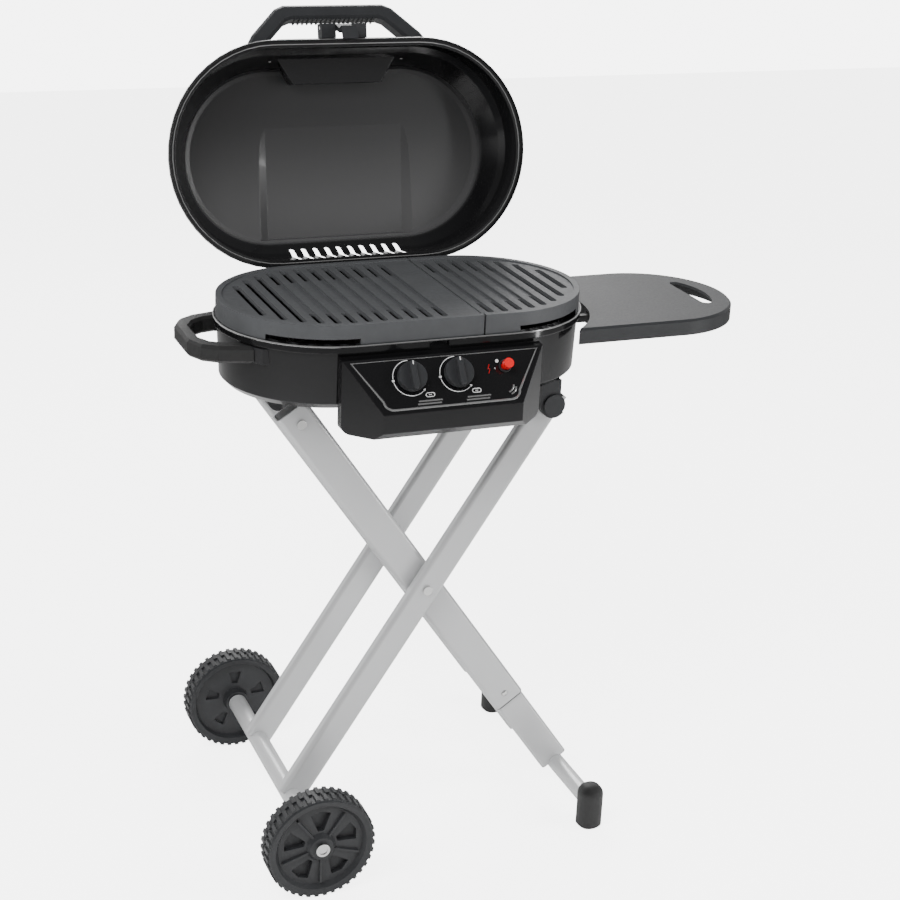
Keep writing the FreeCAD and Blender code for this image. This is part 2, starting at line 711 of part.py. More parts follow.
# ------------------------------------------------------------------ lid, drawn closed about its hinge axis
MOUTH = "(rim_height + lid_gap - hinge_height)"
LID_OPEN = Rotation(Vector(1, 0, 0), -SIZES["lid_open"][0])
LID_STEEL = 1.6


def on_lid(obj):
    """Swings a sub-part drawn on the closed lid up to the open position."""
    place(obj, 0, "hinge_back", "hinge_height", LID_OPEN)
    bind(obj, "Placement.Rotation.Angle", "0 - lid_open")
    return obj


def lid_y(y):
    return f"({y}) - hinge_back"


def lid_z(depth):
    """The height above the hinge axis of a place at a depth above the lid's mouth."""
    return f"{MOUTH} + {depth}"


def lid_solid(name, grow, low=0):
    """The lid's outline as a solid, grown outwards from its inner face."""
    made = body(name)
    shift = lid_y("lid_crown_shift")
    loft(made, [
        (lid_z(low), "end_centre", f"lid_mouth + {grow}", lid_y(0)),
        (lid_z("lid_wall"), "end_centre", f"lid_mouth - 1 + {grow}", lid_y(0)),
        (lid_z(f"lid_wall + 8 + {grow}"), "end_centre - 1", f"lid_mouth - 8 + {grow}", lid_y(2)),
        (lid_z(f"lid_depth + {grow}"), "lid_crown_half", f"lid_crown_radius + {grow}", shift),
        (lid_z(f"lid_depth + 2 + {grow}"), "lid_crown_half - 1", f"lid_crown_radius - 6 + {grow}", shift),
    ])
    return made


def recess(name, grow):
    """The notch for the hand above the handle, grown outwards on every side."""
    made = body(name)
    base = sketch(made, "base", lift=lid_z(f"57 - {grow}"))
    polygon(base, [
        (f"-96 - {grow}", lid_y(-190)), (f"96 + {grow}", lid_y(-190)), (f"96 + {grow}", lid_y(-146)),
        (f"68 + {grow}", lid_y(f"-103 + {grow}")), (f"-68 - {grow}", lid_y(f"-103 + {grow}")),
        (f"-96 - {grow}", lid_y(-146)),
    ])
    pad(made, base, 60)
    return made


def crown_panel(name, grow):
    """The crown's raised middle, which rises from nothing at the front to its full height over the hinges."""
    made = body(name)
    sections = []
    for y, rise in ((-50, 1.2), (f"130 + {grow}", 13)):
        section = sketch(made, "section", "XZ_Plane", f"0 - ({lid_y(y)})")
        foot, edge = f"(124 + {grow})", f"(109 + {grow})"
        low, middle, top = lid_z(70), lid_z(f"lid_depth + 1 + {grow}"), lid_z(f"lid_depth + {rise} + {grow}")
        polygon(section, [(f"0 - {foot}", low), (foot, low), (foot, middle), (edge, top),
                          (f"0 - {edge}", top), (f"0 - {foot}", middle)])
        sections.append(section)
    made.newObject("PartDesign::AdditiveLoft", "panel_loft").Profile = sections[0]
    made.Tip.Sections = sections[1:]
    made.Tip.Ruled = True
    doc.recompute()
    return made


lid_outside = lid_solid("lid_outside", LID_STEEL)
rim_plate = sketch(lid_outside, "flange", lift=lid_z(0))
pad(lid_outside, stadium(rim_plate, "end_centre", "lid_flange", y=lid_y(0)), 2)
rim_lip = sketch(lid_outside, "lip", lift=lid_z("0 - lid_lip"))
stadium(rim_lip, "end_centre", "lid_flange", y=lid_y(0))
stadium(rim_lip, "end_centre", f"lid_flange - {LID_STEEL}", y=lid_y(0))
pad(lid_outside, rim_lip, "lid_lip")
lid_inside = lid_solid("lid_inside", 0, low=-0.01)
lid_slots = body("lid_slots")
slot = sketch(lid_slots, "slot", "XZ_Plane")
pad(lid_slots, stadium(slot, 25, 4, x=-83.25, y=lid_z(33), upright=True), 80)
row(lid_slots, lid_slots.Tip, "X_Axis", 166.5, 10)
hollow = cut("lid_hollow", fuse("lid_room", lid_inside, crown_panel("panel_inside", 0)),
             recess("recess_lining", LID_STEEL))
crowned = fuse("lid_crowned", lid_outside, crown_panel("panel_outside", LID_STEEL))
shell = cut("lid_whole", crowned, hollow, recess("recess_notch", 0), lid_slots)
node("lid_shell", on_lid(shell))


def trimmed(name, piece):
    """What lies outside the lid's outer face of a piece fixed to it."""
    return on_lid(cut(name, piece, lid_solid(name + "_trim", LID_STEEL)))


def lid_handle():
    """A trapezoid grip whose two ends meet the lid's front wall."""
    made = body("lid_grip")
    loop = sketch(made, "loop")
    polygon(loop, [
        (-146, 24), (-142, -8), (-132, -24), (-92, -64), (-78, -70), (78, -70), (92, -64), (132, -24),
        (142, -8), (146, 24), (120, 24), (114, -6), (106, -16), (78, -44), (68, -48), (-68, -48),
        (-78, -44), (-106, -16), (-114, -6), (-120, 24),
    ])
    pad(made, loop, 24, symmetric=True)
    soften(made, 4, lambda e: level(e, 12) or level(e, -12), "Chamfer")
    place(made, 0, lid_y(-149), lid_z(46), Rotation(Vector(1, 0, 0), -23))
    return made


node("lid_handle", trimmed("lid_handle_ends", lid_handle()))
plate = block("latch_strip", 200, 40, 4, -100, lid_y(-167), lid_z(22))
node("latch_plate", trimmed("latch_plate_ends", plate))
blocks = []
for low in (-35, 13):
    cheek = block("latch_cheek", 22, 21, 20, low, lid_y(-188), lid_z(14))
    bore = cylinder("cheek_bore", 2.5, 30, low - 4, lid_y(-182), lid_z(24), ALONG_X)
    blocks.append(cut("bored_cheek", cheek, bore))
node("latch_blocks", on_lid(group("latch_pair", *blocks)))
rod = cylinder("latch_pin_rod", 2.5, 70, -35, lid_y(-182), lid_z(24), ALONG_X)
node("latch_pin", on_lid(group("latch_pin_whole", rod)))

# ------------------------------------------------------------------ lid hinges and latch
def profile(name, points, width, x):
    """A plate with a YZ outline, starting at a place along X."""
    made = body(name)
    polygon(sketch(made, "outline", "YZ_Plane"), points)
    pad(made, made.Group[-1], width)
    place(made, x)
    return made


LEAF = [(-46, 7.5), (-46, 28), (-26, 21), (4, 5), (5, 0), (-5, 0), (-8, 7.5)]
BRACKET = [(-36, -31), (-36, -15), (-27, -12), (-4, 2.5), (4, -2.5)]
leaves, brackets, pins = [], [], []
for side in (-1, 1):
    for low in (-12, 6.05):
        cheek = profile("cheek", LEAF, 5.95, f"{side}*hinge_place + {low}")
        eye = cylinder("eye", 5, 5.95, f"{side}*hinge_place + {low}", 0, 0, ALONG_X)
        bore = cylinder("eye_bore", "2.5 + running_gap", 20, f"{side}*hinge_place - 6 + {low}", 0, 0, ALONG_X)
        leaves.append(cut("bored_cheek", fuse("cheek_eye", cheek, eye), bore))
    arm = profile("arm", [(f"hinge_back + {y}", f"hinge_height + {z}") for y, z in BRACKET], 12,
                  f"{side}*hinge_place - 6")
    knuckle = cylinder("knuckle", 5, 12, f"{side}*hinge_place - 6", "hinge_back", "hinge_height", ALONG_X)
    bore = cylinder("knuckle_bore", 2.5, 20, f"{side}*hinge_place - 10", "hinge_back", "hinge_height", ALONG_X)
    brackets.append(cut("bored_arm", fuse("arm_knuckle", arm, knuckle), bore))
    pins.append(cylinder("hinge_pin", 2.5, 26, f"{side}*hinge_place - 13",
                         "hinge_back", "hinge_height", ALONG_X))
node("lid_hinge_leaves", trimmed("lid_hinge_leaf_pair", group("leaf_pair", *leaves)))
node("lid_hinge_brackets", cut("bracket_pair", group("arm_pair", *brackets),
                               bowl_solid("bracket_trim", "0", "bowl_floor", "rim_height - steel")))
node("lid_hinge_pins", group("hinge_pins", *pins))

HOOK = [(-4, 4), (-4, -6), (8, -20), (9.5, -32), (29, -31.2),
        (29, -29), (15.5, -28.5), (14.5, -17), (3.5, -3), (3.5, 4)]
hook = fuse("hook", profile("hook_plate", HOOK, 24, -12), cylinder("hook_eye", 4.5, 24, -12, 0, 0, ALONG_X))
hook = cut("bored_hook", hook, cylinder("hook_bore", "2.5 + running_gap", 30, -15, 0, 0, ALONG_X))
place(hook, 0, lid_y(-182), lid_z(24), Rotation(Vector(1, 0, 0), -20))
node("lid_latch", on_lid(group("swung_hook", hook)))

# ------------------------------------------------------------------ side table
def table_slab(name, inset, base, thickness):
    """Straight sides and a half-round end, inset everywhere by the same amount."""
    made = body(name)
    outline = sketch(made, "outline", lift=base)
    centre = "(table_end_centre + table_inner)/2 - 50"
    stadium(outline, f"table_end_centre - ({centre})", f"table_half - {inset}", x=centre)
    pad(made, outline, thickness)
    trim = sketch(made, "trim", lift=f"{base} + {thickness} + 1")
    inner = f"table_inner + {inset}"
    polygon(trim, [(-50, -200), (inner, -200), (inner, 200), (-50, 200)])
    pocket(made, trim, f"{thickness} + 2")
    hollow = sketch(made, "hollow", lift=f"{base} + {thickness} + 1")
    pocket(made, circle(hollow, f"table_hollow + {inset}", "end_centre"), f"{thickness} + 2")
    return made


def side_table():
    made = table_slab("table", 0, "table_top - table_depth", "table_depth")
    soften(made, 3, lambda e: level(e, num("table_top")) and e.BoundBox.XMax > 300, "Chamfer")
    under = table_slab("table_under", 5, "table_top - 40", "40 - table_plate")
    grip = body("grip")
    round_end = sketch(grip, "round_end", lift="table_top - 40")
    pad(grip, circle(round_end, "table_half - 16", "table_end_centre - 14"), 60)
    cover = sketch(grip, "cover", lift="table_top + 30")
    polygon(cover, [(200, -150), ("table_slot", -150), ("table_slot", 150), (200, 150)])
    pocket(grip, cover, 80)
    soften(grip, 9, lambda e: runs(e, Vector(0, 0, 1)))
    notches = [block("arm_notch", 60, 36, 24, "table_hinge_x - 30", low, "table_top - table_plate - 24")
               for low in (37, -73)]
    return cut("table_with_grip", made, under, grip, *notches)


table = side_table()
leaf_plates, arms, table_pins = [], [], []
for side in (-1, 1):
    low = 50 if side > 0 else -70
    flange = block("flange", 40, 20, 2, "table_hinge_x - 5", low, "table_top - table_plate - 2")
    web_height = "table_top - table_plate - 1 - table_hinge_z"
    web = block("web", 6, 20, web_height, "table_hinge_x - 3", low, "table_hinge_z")
    eye = cylinder("eye", 5, 20, "table_hinge_x", low, "table_hinge_z", ALONG_Y)
    bore = cylinder("eye_bore", "2.5 + running_gap", 40, "table_hinge_x", low - 10, "table_hinge_z", ALONG_Y)
    leaf_plates.append(cut("bored_leaf", fuse("leaf", flange, web, eye), bore))
    low = 39.9 if side > 0 else -49.9
    arm = block("table_arm", 48, 10, 10, "table_hinge_x - 48", low, "table_hinge_z - 5")
    eye = cylinder("arm_eye", 5, 10, "table_hinge_x", low, "table_hinge_z", ALONG_Y)
    bore = cylinder("arm_bore", 2.5, 30, "table_hinge_x", low - 10, "table_hinge_z", ALONG_Y)
    arms.append(cut("bored_table_arm", fuse("arm_with_eye", arm, eye), bore))
    low = 39 if side > 0 else -71
    table_pins.append(cylinder("table_pin", 2.5, 32, "table_hinge_x", low, "table_hinge_z", ALONG_Y))
node("side_table", table)
node("table_hinge_leaves", group("table_leaves", *leaf_plates))
node("table_hinge_brackets", cut("trimmed_arms", group("table_arms", *arms),
                                 bowl_solid("arm_trim", "0", "bowl_floor", "rim_height - steel")))
node("table_hinge_pins", group("table_pins", *table_pins))

# ------------------------------------------------------------------ stand
DOWN_LEG = Rotation(Vector(0, 1, 0), 90 + SIZES["foot_leg_slope"][0])
UP_LEG = Rotation(Vector(0, 1, 0), 90 - SIZES["wheel_leg_slope"][0])


def on_foot_leg(obj, y=0):
    """Puts a sub-part drawn along +Z from the top pivot onto the foot legs."""
    place(obj, "pivot_x", y, "pivot_z", DOWN_LEG)
    bind(obj, "Placement.Rotation.Angle", "90 + foot_leg_slope")
    return obj


def along_foot_leg(distance):
    return f"pivot_x + ({distance})*cos(foot_leg_slope)", f"pivot_z - ({distance})*sin(foot_leg_slope)"


CROSSING_X, CROSSING_Z = along_foot_leg("arm_length")
CROSSBAR_X = f"{CROSSING_X} + arm_length*cos(wheel_leg_slope)"
CROSSBAR_Z = f"{CROSSING_Z} + arm_length*sin(wheel_leg_slope)"
AXLE_X = f"{CROSSING_X} - wheel_arm*cos(wheel_leg_slope)"
AXLE_Z = f"{CROSSING_Z} - wheel_arm*sin(wheel_leg_slope)"
FEET_X, FEET_Z = along_foot_leg("foot_reach")


def on_wheel_leg(obj, y=0):
    """Puts a sub-part drawn along +Z from the axle onto the wheel legs."""
    place(obj, AXLE_X, y, AXLE_Z, UP_LEG)
    bind(obj, "Placement.Rotation.Angle", "90 - wheel_leg_slope")
    return obj


def rectangle(half_x, half_y):
    return [(f"-{half_x}", f"-{half_y}"), (half_x, f"-{half_y}"), (half_x, half_y), (f"-{half_x}", half_y)]


def tube_leg(name, wide, thick, start, length, wall, corner):
    """A rectangular tube along +Z, wide along X, with rounded corners."""
    made = body(name)
    outer = sketch(made, "outer", lift=start)
    half_w, half_t = f"({wide})/2", f"({thick})/2"
    polygon(outer, rectangle(half_w, half_t))
    pad(made, outer, length)
    soften(made, corner, lambda e: runs(e, Vector(0, 0, 1)))
    hollow = body(name + "_inside")
    inner = sketch(hollow, "inner", lift=f"{start} - 1")
    half_w, half_t = f"({wide} - 2*{wall})/2", f"({thick} - 2*{wall})/2"
    polygon(inner, rectangle(half_w, half_t))
    pad(hollow, inner, f"{length} + 2")
    soften(hollow, f"{corner} - {wall}", lambda e: runs(e, Vector(0, 0, 1)))
    return made, hollow


def cross_hole(name, radius, distance, x=0):
    """A hole across a leg, drawn in the leg's own frame."""
    return cylinder(name, radius, 60, x, -30, distance, ALONG_Y)


def foot_leg(name, side):
    outer, inner = tube_leg(name + "_tube", "foot_leg_wide", "foot_leg_thick", "0 - foot_leg_head",
                            "foot_leg_head + foot_leg_end", "tube_wall", "tube_corner")
    snap = cylinder("snap_hole", "5 + running_gap", 20, 0, 0 if side > 0 else -20, "snap_place", ALONG_Y)
    made = cut(name + "_leg", outer, inner, cross_hole("top_hole", "pivot_pin + running_gap", 0),
               cross_hole("crossing_hole", "pivot_pin + running_gap", "arm_length"), snap)
    return node(name, on_foot_leg(made, f"{side}*foot_leg_y"))


def foot_insert(name, side):
    fit = "(tube_wall + running_gap)"
    outer, inner = tube_leg(name + "_bar", f"(foot_leg_wide - 2*{fit})", f"(foot_leg_thick - 2*{fit})",
                            "insert_start", "insert_end - insert_start", "1.8", "(tube_corner - tube_wall)")
    tube = cylinder("feet_hole", "foot_tube", 60, 0, -30, "foot_reach", ALONG_Y)
    snap = cylinder("snap_seat", 4.5, 30, 0, 0 if side > 0 else -30, "snap_place", ALONG_Y)
    made = cut(name + "_insert", outer, inner, tube, snap)
    return node(name, on_foot_leg(made, f"{side}*foot_leg_y"))


foot_leg("front_foot_leg", -1)
foot_leg("rear_foot_leg", 1)
foot_insert("front_foot_insert", -1)
foot_insert("rear_foot_insert", 1)

snaps = []
for side in (-1, 1):
    low = "foot_leg_y + 3" if side > 0 else "0 - foot_leg_y - 14"
    snaps.append(cylinder("snap", 4.5, 11, 0, low, "snap_place", ALONG_Y))
node("snap_buttons", on_foot_leg(group("snap_pair", *snaps)))


def cross_tube(name, radius, half, x, z, wall):
    """A round tube across the stand."""
    outer = cylinder(name + "_outside", radius, f"2*({half})", x, f"0 - ({half})", z, ALONG_Y)
    inner = cylinder(name + "_inside", f"{radius} - {wall}", f"2*({half}) + 2", x, f"-1 - ({half})", z, ALONG_Y)
    return cut(name, outer, inner)


node("feet_tube", cross_tube("feet", "foot_tube", "foot_half", FEET_X, FEET_Z, "tube_wall"))


def boots():
    """Two identical rubber boots with domed tops, each with a blind socket for the cross tube."""
    pair = []
    for side in (-1, 1):
        made = body("boot")
        foot = sketch(made, "foot")
        polygon(foot, rectangle("boot_width/2", "boot_width/2"))
        pad(made, foot, "boot_height")
        soften(made, 17, lambda e: runs(e, Vector(0, 0, 1)))
        soften(made, 16, lambda e: level(e, num("boot_height")))
        soften(made, 4, lambda e: level(e, 0), "Chamfer")
        place(made, f"{FEET_X} + 3", f"{side}*foot_half")
        pair.append(made)
    socket = cylinder("boot_socket", "foot_tube", "2*foot_half", FEET_X, "0 - foot_half", FEET_Z, ALONG_Y)
    return cut("boot_pair", group("two_boots", *pair), socket)


node("foot_boots", boots())


def wheel_leg(name, side):
    outer, inner = tube_leg(name + "_tube", "wheel_leg_wide", "wheel_leg_thick", 0,
                            "wheel_arm + arm_length + 18", "tube_wall", "tube_corner")
    made = cut(name + "_leg", outer, inner, cross_hole("axle_seat", "axle_tube", 0),
               cross_hole("rivet_hole", "pivot_pin", "wheel_arm"),
               cross_hole("crossbar_seat", "crossbar", "wheel_arm + arm_length"))
    return node(name, on_wheel_leg(made, f"{side}*wheel_leg_y"))


wheel_leg("front_wheel_leg", -1)
wheel_leg("rear_wheel_leg", 1)
AXLE_HALF = "wheel_inner - 2"
node("axle_tube", cross_tube("axle", "axle_tube", AXLE_HALF, AXLE_X, AXLE_Z, "tube_wall"))
BAR_HALF = "cradle_place + cradle_width"
node("top_crossbar", cross_tube("top_bar", "crossbar", BAR_HALF, CROSSBAR_X, CROSSBAR_Z, "tube_wall"))

ROD_HALF = "wheel_inner + wheel_width + 3"
rod = cylinder("rod", "axle_rod", f"2*({ROD_HALF})", AXLE_X, f"0 - ({ROD_HALF})", AXLE_Z, ALONG_Y)
collars = [cylinder("collar", "axle_tube - tube_wall", 20, AXLE_X, y, AXLE_Z, ALONG_Y)
           for y in (f"{AXLE_HALF} - 20", f"0 - ({AXLE_HALF})")]
node("axle_rod", fuse("rod_with_collars", rod, *collars))
caps, dimples = [], []
for side in (-1, 1):
    low = f"{ROD_HALF} - 2.9" if side > 0 else f"0 - ({ROD_HALF}) - 2"
    caps.append(cylinder("cap", 10, 4.9, AXLE_X, low, AXLE_Z, ALONG_Y))
    low = f"{ROD_HALF} + 0.6" if side > 0 else f"0 - ({ROD_HALF}) - 3.6"
    dimples.append(cylinder("dimple", 6.5, 3, AXLE_X, low, AXLE_Z, ALONG_Y))
rod_room = cylinder("rod_room", "axle_rod", f"2*({ROD_HALF})", AXLE_X, f"0 - ({ROD_HALF})", AXLE_Z, ALONG_Y)
node("push_caps", cut("cap_pair", group("two_caps", *caps), rod_room, *dimples))
ends = []
for side in (-1, 1):
    low = BAR_HALF if side > 0 else f"0 - ({BAR_HALF}) - 3"
    ends.append(cylinder("bar_cap", "crossbar + 4", 3, CROSSBAR_X, low, CROSSBAR_Z, ALONG_Y))
node("crossbar_caps", group("bar_caps", *ends))


def pivot_row(name, x, z, spans):
    """Round pieces along Y given as (radius, inner face, length), one set at each side."""
    pieces = []
    for side in (-1, 1):
        made = []
        for radius, start, length in spans:
            low = start if side > 0 else f"0 - ({start}) - ({length})"
            made.append(cylinder("piece", radius, length, x, low, z, ALONG_Y))
        pieces.append(made[0] if len(made) == 1 else fuse(name + "_side", *made))
    return group(name, *pieces)


LEG_INNER = "foot_leg_y - foot_leg_thick/2"
LEG_OUTER = "foot_leg_y + foot_leg_thick/2"
node("top_pivot_pins", pivot_row("top_pins", "pivot_x", "pivot_z", [
    ("pivot_pin", 32, f"{LEG_OUTER} - 32 + 0.1"), (7, f"{LEG_OUTER} + 0.1", 1.8)]))
node("crossing_rivets", pivot_row("rivets", CROSSING_X, CROSSING_Z, [
    (7, f"{LEG_INNER} - 2.1", 2), ("pivot_pin", f"{LEG_INNER} - 1", 51),
    (7, "wheel_leg_y + wheel_leg_thick/2", 3)]))
washers = pivot_row("washers", CROSSING_X, CROSSING_Z, [(12, f"{LEG_OUTER} + 0.05", 1.9)])
washer_bores = pivot_row("washer_bores", CROSSING_X, CROSSING_Z, [("pivot_pin", LEG_OUTER, 3)])
node("crossing_washers", cut("bored_washers", washers, washer_bores))


def saddle_brackets():
    """Two identical blocks under the bowl that carry the foot legs' top pivots."""
    pair = []
    for side in (-1, 1):
        low = 30 if side > 0 else -50
        plate = block("saddle_plate", 50, 20, 4, "pivot_x - 18", low, "bowl_floor - 4")
        cheek = block("saddle_cheek", 34, 20, 40, "pivot_x - 14", low, "bowl_floor - 44")
        eye = cylinder("saddle_eye", 17, 20, "pivot_x", low, "pivot_z", ALONG_Y)
        pair.append(fuse("saddle", plate, cheek, eye))
    bore = pivot_row("saddle_bores", "pivot_x", "pivot_z", [("pivot_pin", 32, 60)])
    return cut("saddle_pair", group("two_saddles", *pair), bore)


node("saddle_brackets", saddle_brackets())


def cradles():
    """Two identical hooks under the bowl, open to the right, that hold the top crossbar."""
    pair = []
    for side in (-1, 1):
        low = "cradle_place" if side > 0 else "0 - cradle_place - cradle_width"
        drum = cylinder("cradle_drum", "cradle_radius", "cradle_width", CROSSBAR_X, low, CROSSBAR_Z, ALONG_Y)
        post = block("cradle_post", 30, "cradle_width", f"bowl_floor - ({CROSSBAR_Z})",
                     f"{CROSSBAR_X} - cradle_radius", low, CROSSBAR_Z)
        pair.append(fuse("cradle", drum, post))
    room = cylinder("bar_room", "crossbar + running_gap", 260, CROSSBAR_X, -130, CROSSBAR_Z, ALONG_Y)
    mouth = block("bar_mouth", 60, 260, "2*(crossbar + running_gap)", CROSSBAR_X, -130,
                  f"{CROSSBAR_Z} - crossbar - running_gap")
    return cut("cradle_pair", group("two_cradles", *pair), room, mouth)


node("crossbar_cradles", cradles())


def cradle_clips():
    """Two identical springs that snap past the crossbar to keep it in its cradle."""
    pair = []
    for side in (-1, 1):
        low = "cradle_place + 2" if side > 0 else "0 - cradle_place - 9"
        pair.append(block("clip", 2, 7, 6.5, f"{CROSSBAR_X} + crossbar + 0.3", low,
                          f"{CROSSBAR_Z} + crossbar + running_gap - 6.5"))
    return group("clip_pair", *pair)


node("cradle_clips", cradle_clips())

# ------------------------------------------------------------------ wheels
LUGS = 40


def wheel(name, side):
    """A wheel with five wedge-shaped hollows between ribs, two staggered rows of lugs and a plain bore."""
    made = body(name)
    half = sketch(made, "half", "YZ_Plane")
    width, tread = "wheel_width", 5
    polygon(half, [
        (0, "axle_rod + running_gap"), (0, 18), (12, 20), (12, "wheel_radius - 16"), (3, "wheel_radius - 13"),
        (0, f"wheel_radius - {tread}"), (2, f"wheel_radius - {tread} + 2"),
        (f"{width} - 2", f"wheel_radius - {tread} + 2"), (width, f"wheel_radius - {tread}"),
        (f"{width} - 2", "wheel_radius - 13"), (f"{width} - 9", "wheel_radius - 18"),
        (f"{width} - 7", 22), (f"{width}", 17), (width, "axle_rod + running_gap"),
    ])
    revolve(made, half, "H_Axis")
    outside = sketch(made, "outside", "XZ_Plane", f"7 - {width}")
    polygon(outside, [(-4, 25), (4, 25), (15, 51), (0, 56), (-15, 51)])
    ring_of(made, pocket(made, outside, 9, backwards=True), 5, "Y_Axis")
    inside = sketch(made, "inside", "XZ_Plane", "0 - 12")
    polygon(inside, [(-4, 28), (4, 28), (10, 48), (-10, 48)])
    ring_of(made, pocket(made, inside, 5), 5, "Y_Axis")
    rib = sketch(made, "rib", "XZ_Plane", f"10 - {width}")
    polygon(rib, [(-1.6, -20), (1.6, -20), (1.6, -59), (-1.6, -59)])
    ring_of(made, pad(made, rib, 6, backwards=True), 5, "Y_Axis")
    for lane, low in enumerate((2, "wheel_width/2 + 1")):
        lug = sketch(made, "lug", "XZ_Plane", f"0 - ({low})")
        turn = math.pi * lane / LUGS
        corners = []
        for x, z in ((-3.4, "wheel_radius - 5"), (3.4, "wheel_radius - 5"), (2.8, "wheel_radius - 0.15"),
                     (-2.8, "wheel_radius - 0.15")):
            corners.append((f"{x*math.cos(turn)} + ({z})*{math.sin(turn)}",
                            f"({z})*{math.cos(turn)} - ({x*math.sin(turn)})"))
        polygon(lug, corners)
        ring_of(made, pad(made, lug, "wheel_width/2 - 3", backwards=True), LUGS, "Y_Axis")
    turn = Rotation(Vector(0, 0, 1), 0 if side > 0 else 180)
    place(made, AXLE_X, f"{side}*wheel_inner", AXLE_Z, turn)
    return node(name, made)


wheel("front_wheel", -1)
wheel("rear_wheel", 1)


# ------------------------------------------------------------------ check and write
doc.recompute()
for obj in doc.Objects:
    if "Invalid" in obj.State or "Error" in obj.State:
        raise RuntimeError(f"{obj.Label}: {obj.State}")

os.makedirs("parts", exist_ok=True)
for name, obj in NODES.items():
    shape = obj.Shape
    if shape.isNull() or not shape.isValid() or not shape.Solids:
        raise RuntimeError(f"{name}: the shape is not sound")
    shape.exportStep(f"parts/{name}.step")
    print(name, len(shape.Solids), [round(v) for v in (shape.BoundBox.XMin, shape.BoundBox.XMax,
          shape.BoundBox.YMin, shape.BoundBox.YMax, shape.BoundBox.ZMin, shape.BoundBox.ZMax)])
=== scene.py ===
import json
import math

import bpy
from mathutils import Matrix, Vector


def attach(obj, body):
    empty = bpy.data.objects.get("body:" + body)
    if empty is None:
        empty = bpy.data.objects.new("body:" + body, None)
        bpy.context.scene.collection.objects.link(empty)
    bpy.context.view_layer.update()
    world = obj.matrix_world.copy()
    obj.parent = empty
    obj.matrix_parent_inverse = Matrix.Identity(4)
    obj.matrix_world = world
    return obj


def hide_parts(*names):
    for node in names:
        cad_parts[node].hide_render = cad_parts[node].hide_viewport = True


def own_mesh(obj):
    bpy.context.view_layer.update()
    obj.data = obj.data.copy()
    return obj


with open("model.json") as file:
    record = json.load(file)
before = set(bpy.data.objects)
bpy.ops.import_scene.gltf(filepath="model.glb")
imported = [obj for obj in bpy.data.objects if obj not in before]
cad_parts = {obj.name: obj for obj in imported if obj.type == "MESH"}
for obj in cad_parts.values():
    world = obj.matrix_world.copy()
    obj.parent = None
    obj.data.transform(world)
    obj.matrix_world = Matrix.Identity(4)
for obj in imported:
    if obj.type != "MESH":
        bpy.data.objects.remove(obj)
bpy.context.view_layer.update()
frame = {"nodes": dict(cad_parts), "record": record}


# ------------------------------------------------------------------ materials
def ramp(tree, value, source, target):
    """A node that stretches a value from one range of numbers to another."""
    node = tree.nodes.new("ShaderNodeMapRange")
    for name, number in zip(("From Min", "From Max", "To Min", "To Max"), (*source, *target)):
        node.inputs[name].default_value = number
    tree.links.new(value, node.inputs["Value"])
    return node


